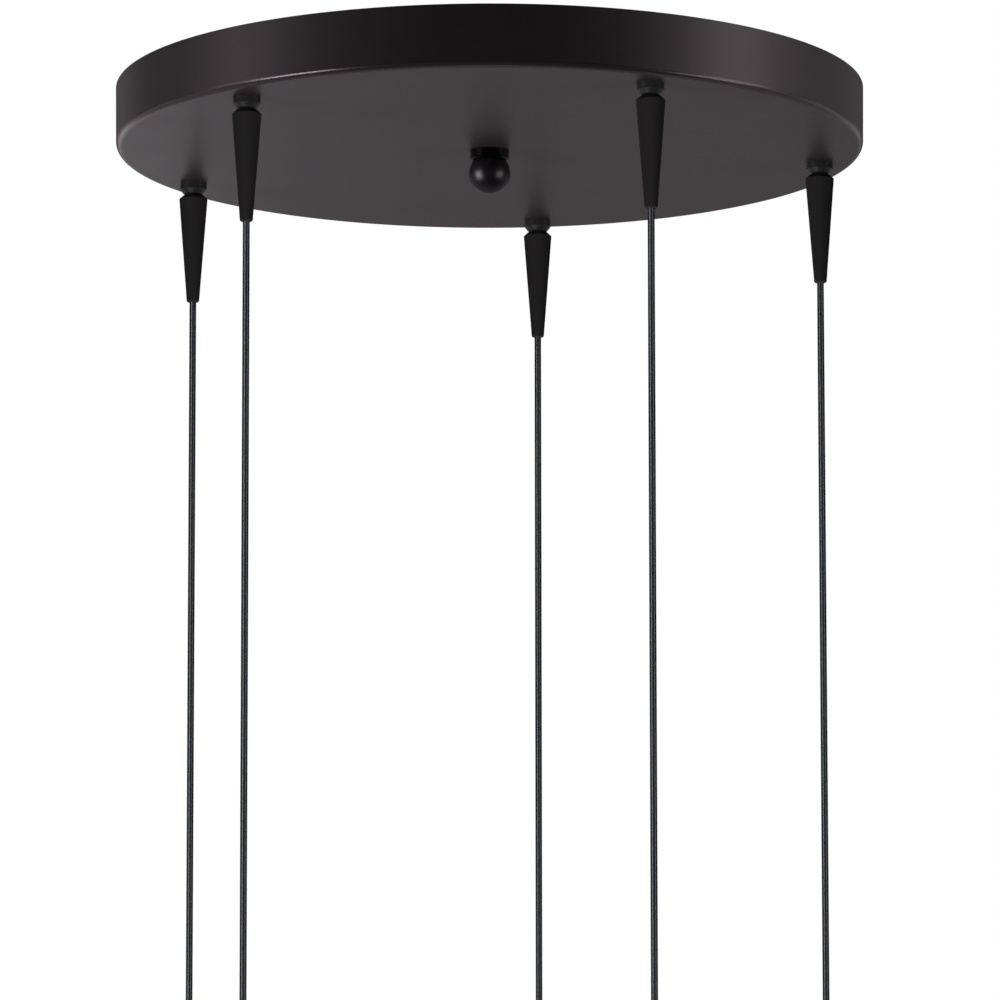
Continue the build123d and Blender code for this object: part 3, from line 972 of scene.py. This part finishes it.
def holder_body():
    """The moulded body: a flange under the cap, the ring's thread, a fluted nose and the lamp's bore."""
    def flute(depth, z):
        return lambda turn: (BODY_RADIUS - depth * (0.5 - 0.5 * math.cos(FLUTES * turn)), z)

    nose_high, nose_low = BODY_THREAD_BOTTOM_Z, BODY_BOTTOM_Z
    nose = ((LAMP_BORE, nose_low, 0.5), (16.6, nose_low, 0.4), (17.4, nose_low + 0.8))
    section = [(0, BORE_TOP_Z)] + rounded((LAMP_BORE, BORE_TOP_Z), *nose)[:-1]
    section += [flute(0, nose_low + 1.3), flute(0.1, nose_low + 1.6), flute(0.45, nose_low + 2.6)]
    section += [flute(0.45, nose_high - 1.8), flute(0.1, nose_high - 0.8), flute(0, nose_high - 0.5)]
    thread = (nose_high, BODY_THREAD_TOP_Z, BODY_RADIUS, BODY_CREST, BODY_THREAD_PITCH)
    section += [Thread(*thread, MOULDED_THREAD)]
    section += rounded(
        (BODY_RADIUS, BODY_THREAD_TOP_Z),
        (CAP_EDGE, BODY_THREAD_TOP_Z, 0.4),
        (CAP_EDGE, CAP_BOTTOM_Z, 0.2),
        (BODY_SPIGOT, CAP_BOTTOM_Z),
    )[1:]
    section += [(BODY_SPIGOT, BODY_TOP_Z), (0, BODY_TOP_Z)]
    return spun("moulded_body", section, 180)


def rolled_shell():
    """The lamp's thread, rolled in thin sheet, with its lip turned in at the top."""
    low, high = SHELL_BOTTOM_Z + 1.2, SHELL_TOP_Z - 2.4
    inner, outer, under_lip = SHELL_RADIUS, SHELL_RADIUS + SHEET, SHELL_TOP_Z - SHEET
    section = [(outer, SHELL_BOTTOM_Z), (inner, SHELL_BOTTOM_Z), (inner, low)]
    section += [Thread(low, high, inner, SHELL_CREST, LAMP_THREAD_PITCH, ROLLED_THREAD)]
    section += rounded((inner, high), (inner, under_lip, 0.6), (SHELL_LIP, under_lip))
    section += rounded((SHELL_LIP, SHELL_TOP_Z), (outer, SHELL_TOP_Z, 1.0), (outer, high))
    section += [Thread(low, high, outer, SHELL_CREST + SHEET, LAMP_THREAD_PITCH, ROLLED_THREAD, True)]
    section += [(outer, low)]
    return spun("rolled_shell", section, 64)


def ring_rim(depth, z):
    """A station of the ring's rim, scalloped by its finger notches."""
    rim, notch = RING_RADIUS - depth, NOTCH_RADIUS + depth

    def station(turn):
        off = (turn + math.pi / RING_NOTCHES) % (2 * math.pi / RING_NOTCHES) - math.pi / RING_NOTCHES
        across = NOTCH_CENTRE * math.sin(off)
        if abs(across) >= notch:
            return rim, z
        return min(rim, NOTCH_CENTRE * math.cos(off) - math.sqrt(notch**2 - across**2)), z

    return station


def shade_ring():
    """The ring that clamps a shade: a scalloped flange and a threaded hub."""
    under, low = RING_TOP_Z - 2.2, RING_TOP_Z - 8.0
    mouth = RING_BORE + 0.5
    edge = ((0.35, 0), (0.1, 0.1), (0, 0.4))
    section = [(mouth, RING_TOP_Z)] + [ring_rim(depth, RING_TOP_Z - away) for depth, away in edge]
    section += [ring_rim(depth, under + away) for depth, away in edge[::-1]]
    section += rounded((23, under), (RING_HUB, under, 0.6), (RING_HUB, low, 0.5), (mouth, low), steps=4)
    section += [(RING_BORE, low + 0.5), (RING_BORE, RING_TOP_Z - 0.5)]
    return spun("shade_ring", section, 240)


# -------- hanging cords
CORD_LENGTH = 428.0 * MM
CORD_IN_GRIP = 5.0 * MM
BEND_LENGTH = 16.0 * MM


def hanging_cord(number):
    """The cord from inside its grip down into its lampholder, pulled straight by the lampholder."""
    top = swing_points[number]
    stops = (CORD_IN_GRIP, 0, -BEND_LENGTH / 2, -BEND_LENGTH, -2 * BEND_LENGTH, -CORD_LENGTH)
    line = route_points([top + Vector((0, 0, stop)) for stop in stops], 12)
    cord = new_object(f"hanging_cord_{number}", tube_along("hanging_cord", line, CORD_RADIUS))
    cord.data.materials.append(FINISHES["cord_black"])
    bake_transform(cord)
    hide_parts(f"pendant_cord_{number}")
    made_pieces.append((f"pendant_cord_{number}", cord))


# -------- all pieces
def soften_edges(node, width):
    """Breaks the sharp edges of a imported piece, as stamping and tumbling do."""
    piece = frame["nodes"][node]
    flats = piece.modifiers.new("flats", "DECIMATE")
    flats.decimate_type = "DISSOLVE"
    flats.angle_limit = math.radians(2)
    bevel = piece.modifiers.new("broken edges", "BEVEL")
    bevel.width = width * MM
    bevel.segments = 2
    bevel.limit_method = "ANGLE"
    bevel.angle_limit = math.radians(40)
    bevel.harden_normals = True


def make_canopy():
    stand_for("canopy_pan", "spun_pan", spun_pan())
    stand_for("finial_collar", "turned_collar", finial_collar())
    stand_for("ball_finial", "turned_ball", finial_ball())
    stand_for("centre_stud", "hollow_stud", hollow_stud())
    nuts = []
    for low in STUD_NUT_LEVELS:
        nuts.append(hex_nut("stud_nut", STUD_NUT_FLATS, THREADED_BORE, low, low + STUD_NUT_HEIGHT))
    stand_for("stud_locknuts", "stud_nuts", joined("stud_nuts", nuts))
    stand_for("ground_screw", "earthing_screw", earthing_screw())
    stand_for("cord_nipples", "collet_nipples", at_each_pendant("collet_nipples", collet_nipple()))
    locknut = hex_nut("locknut", LOCKNUT_FLATS, THREADED_BORE, WASHER_TOP_Z, LOCKNUT_TOP_Z)
    stand_for("nipple_locknuts", "brass_locknuts", at_each_pendant("brass_locknuts", locknut))
    stand_for("terminal_strip", "terminal_block", terminal_block())
    stand_for("terminal_screws", "clamp_screws", clamp_screws())
    wire_the_canopy()
    soften_edges("mounting_bar", 0.35)


def make_pendants():
    turned = {
        "nipple_collar": ("cord_collar", nipple_collar()),
        "cord_grip": ("tapered_grip", cord_grip()),
        "socket_cap": ("spun_cap", holder_cap()),
        "socket_body": ("moulded_body", holder_body()),
        "screw_shell": ("rolled_shell", rolled_shell()),
        "shade_ring": ("clamp_ring", shade_ring()),
    }
    for number in PENDANTS:
        for node, (name, mesh) in turned.items():
            piece = stand_for(f"{node}_{number}", f"{name}_{number}", at_pendant(number, mesh))
            made_by_node[f"{node}_{number}"] = piece
        hanging_cord(number)
        made_by_node[f"cord_grip_{number}"].visible_glossy = False
        bpy.data.objects[f"hanging_cord_{number}"].visible_glossy = False


# -------- studio
def towards(azimuth, elevation):
    """A direction: azimuth 0 is the camera's side, 90 its right."""
    a, e = math.radians(azimuth), math.radians(elevation)
    return Vector((math.sin(a) * math.cos(e), -math.cos(a) * math.cos(e), math.sin(e)))


def softbox(name, azimuth, elevation, distance, width, height, level, glossy=True, lights=None):
    """A soft lamp that faces the canopy. Level 1 is as bright as a white card in full light.

    lights names the group of pieces that it alone falls on, as flags beside it would have it.
    """
    lamp = bpy.data.lights.new(name, "AREA")
    lamp.shape = "RECTANGLE"
    lamp.size, lamp.size_y = width, height
    lamp.energy = level * math.pi * width * height
    box = new_object(name, lamp)
    direction = towards(azimuth, elevation)
    box.location = STUDIO_CENTRE + direction * distance
    box.rotation_euler = (-direction).to_track_quat("-Z", "Y").to_euler()
    box.visible_camera = False
    box.visible_glossy = glossy
    if lights:
        box.light_linking.receiver_collection = lights


def lit_group(name, chosen):
    """The pieces that a lamp falls on: packed ones by name, and each made piece with what it replaces."""
    group = bpy.data.collections.new(name)
    for node, piece in list(frame["nodes"].items()) + made_pieces:
        if chosen(node):
            group.objects.link(piece)
    return group


def make_lamps():
    """A lamp's numbers are its azimuth, elevation, distance, width, height and level."""
    others = HANGING_FINISHES + ("finial_black",)
    canopy = lit_group("Canopy and what is in it", lambda name: slots[name] not in others)
    hanging = lit_group("Grips, cords and lampholders", lambda name: slots[name] in HANGING_FINISHES)
    holders = lit_group("Lampholders", lambda name: slots[name] in HOLDER_FINISHES)
    ball = lit_group("Ball", lambda name: name == "ball_finial")
    cords = lit_group("Hanging cords", lambda name: name.startswith("pendant_cord"))
    collars = lit_group("Cord collars", lambda name: name.startswith("nipple_collar"))
    for azimuth, level in SIDE_STRIPS.items():
        softbox(f"Side strip {azimuth}", azimuth, 5, 2.2, 0.86, 1.9, level, lights=canopy)
    for azimuth, level in LOW_STRIPS.items():
        softbox(f"Low strip {azimuth}", azimuth, -24, 2.2, 0.9, 0.58, level, lights=canopy)
    softbox("Back left panel", -152, -17, 1.0, 0.6, 0.5, 0.48, lights=canopy)
    softbox("Under panel", 0, -90, 2.3, 0.8, 0.8, 6.0, glossy=False)
    softbox("Overhead", 0, 90, 2.6, 1.0, 1.0, 14.0, glossy=False)
    softbox("Back fill", 180, 25, 2.6, 1.6, 1.0, 5.0, glossy=False, lights=canopy)
    softbox("Top back panel", 180, 55, 2.3, 2.4, 1.6, 1.6, lights=canopy)
    for azimuth, level in HOLDER_STRIPS.items():
        softbox(f"Holder strip {azimuth}", azimuth, -8, 2.2, 0.6, 1.8, level, lights=holders)
    softbox("Hanging back fill", 180, 25, 2.6, 1.6, 1.0, 2.0, glossy=False, lights=hanging)
    softbox("Hanging fill", -15, -30, 2.6, 2.0, 1.6, 5.5, glossy=False, lights=hanging)
    softbox("Ball strip left", -65, 3, 2.0, 1.2, 2.4, 10.0, lights=ball)
    softbox("Ball strip right", 60, 3, 2.0, 1.3, 2.0, 4.0, lights=ball)
    softbox("Cord strip left", -42, 0, 2.0, 0.5, 2.2, 11.0, lights=cords)
    softbox("Cord strip right", 50, 0, 2.0, 0.4, 2.2, 6.0, lights=cords)
    softbox("Collar panel", -55, -60, 2.2, 1.2, 0.8, 1.2, lights=collars)


def make_dark_tent():
    """Cloth seen in gloss alone, open above and to the background: black round the lamps, painting dark
    reflections, and glowing grey low behind, painting a grey reflection.
    """
    shape = bmesh.new()
    corners = {}

    def corner(azimuth, elevation):
        if (azimuth, elevation) not in corners:
            corners[azimuth, elevation] = shape.verts.new(TENT_RADIUS * towards(azimuth, elevation))
        return corners[azimuth, elevation]

    for azimuth in range(-180, 180, TENT_STEP):
        for elevation in range(-90 + TENT_STEP, TENT_TOP, TENT_STEP):
            beside = abs(azimuth + TENT_STEP / 2)
            if beside < 180 - BACKGROUND_WINDOW or elevation < 0:
                right = (azimuth + TENT_STEP + 180) % 360 - 180
                up = elevation + TENT_STEP
                square = (azimuth, elevation), (right, elevation), (right, up), (azimuth, up)
                face = shape.faces.new([corner(*place) for place in square])
                face.material_index = 1 if beside > 90 and elevation < 0 else 0
    mesh = mesh_of("dark_tent", shape)
    tent = new_object("dark_tent", mesh)
    tent.location = STUDIO_CENTRE
    tent.visible_camera = tent.visible_diffuse = tent.visible_transmission = tent.visible_shadow = False
    # The grey cloth glows, which paints a grey reflection low behind. The black cloth paints dark reflections.
    for name, level in (("Black cloth", TENT_BLACK_LEVEL), ("Glowing grey cloth low behind", TENT_GREY_GLOW)):
        cloth = bpy.data.materials.new(name)
        cloth.use_nodes = True
        shader = cloth.node_tree.nodes["Principled BSDF"]
        set_inputs(shader, Base_Color=(0, 0, 0, 1), Specular_IOR_Level=0.0)
        set_inputs(shader, Emission_Color=(1, 1, 1, 1), Emission_Strength=level)
        mesh.materials.append(cloth)


def make_world():
    """White where the camera or the gloss of a piece sees it, and dim for the light on the pieces."""
    world = bpy.data.worlds.new("Studio room")
    bpy.context.scene.world = world
    world.use_nodes = True
    tree = world.node_tree
    room = tree.nodes["Background"]
    set_inputs(room, Color=(ROOM_LEVEL, ROOM_LEVEL, ROOM_LEVEL, 1))
    white = tree.nodes.new("ShaderNodeBackground")
    set_inputs(white, Color=(1, 1, 1, 1))
    rays = tree.nodes.new("ShaderNodeLightPath")
    seen = math_node(tree, "MAXIMUM", rays.outputs["Is Camera Ray"], rays.outputs["Is Transmission Ray"])
    seen = math_node(tree, "MAXIMUM", seen, rays.outputs["Is Glossy Ray"])
    mix = tree.nodes.new("ShaderNodeMixShader")
    tree.links.new(seen, mix.inputs[0])
    tree.links.new(room.outputs[0], mix.inputs[1])
    tree.links.new(white.outputs[0], mix.inputs[2])
    tree.links.new(mix.outputs[0], tree.nodes["World Output"].inputs["Surface"])


def open_from_below(material):
    """Lets a low camera look up through the floor's underside."""
    tree = material.node_tree
    shader, out = tree.nodes["Principled BSDF"], tree.nodes["Material Output"]
    side = tree.nodes.new("ShaderNodeNewGeometry")
    clear = tree.nodes.new("ShaderNodeBsdfTransparent")
    mix = tree.nodes.new("ShaderNodeMixShader")
    tree.links.new(side.outputs["Backfacing"], mix.inputs[0])
    tree.links.new(shader.outputs[0], mix.inputs[1])
    tree.links.new(clear.outputs[0], mix.inputs[2])
    tree.links.new(mix.outputs[0], out.inputs["Surface"])


def pale_where_seen(material):
    """Keeps a lit floor pale where the camera or a piece's gloss sees it, under its shadows."""
    tree = material.node_tree
    shader = tree.nodes["Principled BSDF"]
    set_inputs(shader, Emission_Color=(1, 1, 1, 1))
    rays = tree.nodes.new("ShaderNodeLightPath")
    seen = math_node(tree, "MAXIMUM", rays.outputs["Is Camera Ray"], rays.outputs["Is Glossy Ray"])
    tree.links.new(math_node(tree, "MULTIPLY", seen, FLOOR_GLOW), shader.inputs["Emission Strength"])


def make_floor():
    shape = bmesh.new()
    bmesh.ops.create_grid(shape, x_segments=1, y_segments=1, size=12.0)
    floor = new_object("studio_floor", mesh_of("studio_floor", shape))
    floor.location.z = FLOOR_Z
    pale = coated("Pale floor", (0.8, 0.8, 0.79), 0.8, grain=300.0, clouds=1.5, cloudiness=0.03)
    pale_where_seen(pale)
    open_from_below(pale)
    floor.data.materials.append(pale)


def make_camera():
    lens = bpy.data.cameras.new("Photograph")
    lens.lens = CAMERA_LENS
    lens.sensor_width = SENSOR
    lens.clip_end = 100
    camera = new_object("Photograph", lens)
    yaw = Matrix.Rotation(math.radians(-CAMERA_YAW), 4, "Z")
    pitch = Matrix.Rotation(math.radians(90 + CAMERA_PITCH), 4, "X")
    roll = Matrix.Rotation(math.radians(-CAMERA_ROLL), 4, "Z")
    camera.matrix_world = Matrix.Translation(CAMERA_PLACE) @ yaw @ pitch @ roll
    bpy.context.scene.camera = camera


# -------- build
bpy.context.scene.view_settings.view_transform = "Standard"
finish_frame()
make_canopy()
make_pendants()
make_world()
make_lamps()
make_dark_tent()
make_floor()
make_camera()
